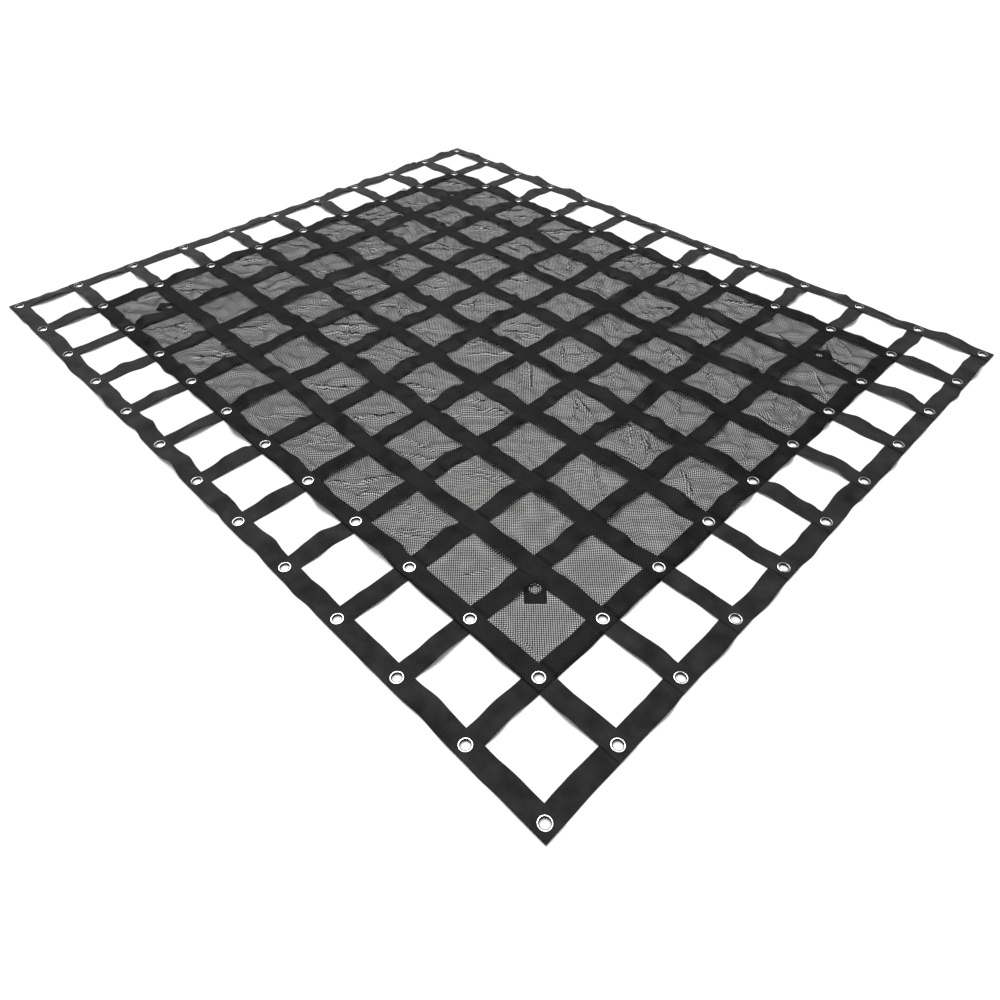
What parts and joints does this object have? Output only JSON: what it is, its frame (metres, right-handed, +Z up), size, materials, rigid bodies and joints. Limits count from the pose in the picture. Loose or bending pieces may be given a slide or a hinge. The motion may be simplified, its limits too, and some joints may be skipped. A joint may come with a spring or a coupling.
{
  "type": "cargo net",
  "caption": "Flat webbing cargo net, square cells, with a mesh liner sewn over its middle and metal grommets round its border and the liner's edge.",
  "frame": {"origin": "middle of the net, on the surface that it lies on", "axes": "+X along the long side and the long straps, +Y along the cross straps towards the back, +Z up"},
  "size_m": [2.45, 2.05, 0.0061],
  "materials": {
    "webbing": "matt woven polyester webbing with a slight sheen",
    "mesh": "matt perforated coated mesh",
    "grommet_metal": "satin nickel plate"
  },
  "bodies": {
    "left_half": {"border_eyelets_back_left": "grommet_metal", "border_eyelets_front_left": "grommet_metal", "border_eyelets_left_side": "grommet_metal", "cross_strap_01": "webbing", "cross_strap_02": "webbing", "cross_strap_03": "webbing", "cross_strap_04": "webbing", "cross_strap_05": "webbing", "cross_strap_06": "webbing", "cross_strap_07": "webbing", "long_strap_01_left": "webbing", "long_strap_02_left": "webbing", "long_strap_03_left": "webbing", "long_strap_04_left": "webbing", "long_strap_05_left": "webbing", "long_strap_06_left": "webbing", "long_strap_07_left": "webbing", "long_strap_08_left": "webbing", "long_strap_09_left": "webbing", "long_strap_10_left": "webbing", "long_strap_11_left": "webbing", "mesh_eyelets_back_left": "grommet_metal", "mesh_eyelets_front_left": "grommet_metal", "mesh_eyelets_left_side": "grommet_metal", "mesh_liner_left": "mesh", "tab_eyelets_left": "grommet_metal", "tie_down_tab_back_left": "webbing", "tie_down_tab_front_left": "webbing", "washers_left": "grommet_metal"},
    "right_half": {"border_eyelets_back_right": "grommet_metal", "border_eyelets_front_right": "grommet_metal", "border_eyelets_right_side": "grommet_metal", "cross_strap_08": "webbing", "cross_strap_09": "webbing", "cross_strap_10": "webbing", "cross_strap_11": "webbing", "cross_strap_12": "webbing", "cross_strap_13": "webbing", "long_strap_01_right": "webbing", "long_strap_02_right": "webbing", "long_strap_03_right": "webbing", "long_strap_04_right": "webbing", "long_strap_05_right": "webbing", "long_strap_06_right": "webbing", "long_strap_07_right": "webbing", "long_strap_08_right": "webbing", "long_strap_09_right": "webbing", "long_strap_10_right": "webbing", "long_strap_11_right": "webbing", "mesh_eyelets_back_right": "grommet_metal", "mesh_eyelets_front_right": "grommet_metal", "mesh_eyelets_right_side": "grommet_metal", "mesh_liner_right": "mesh", "tab_eyelets_right": "grommet_metal", "tie_down_tab_back_right": "webbing", "tie_down_tab_front_right": "webbing", "washers_right": "grommet_metal"}
  },
  "joints": [
    {"name": "fold_in_half", "type": "hinge", "parent": "left_half", "child": "right_half", "pos_m": [0.1, 0, 0.028], "axis": [0, -1, 0], "range_deg": [0, 178]}
  ]
}
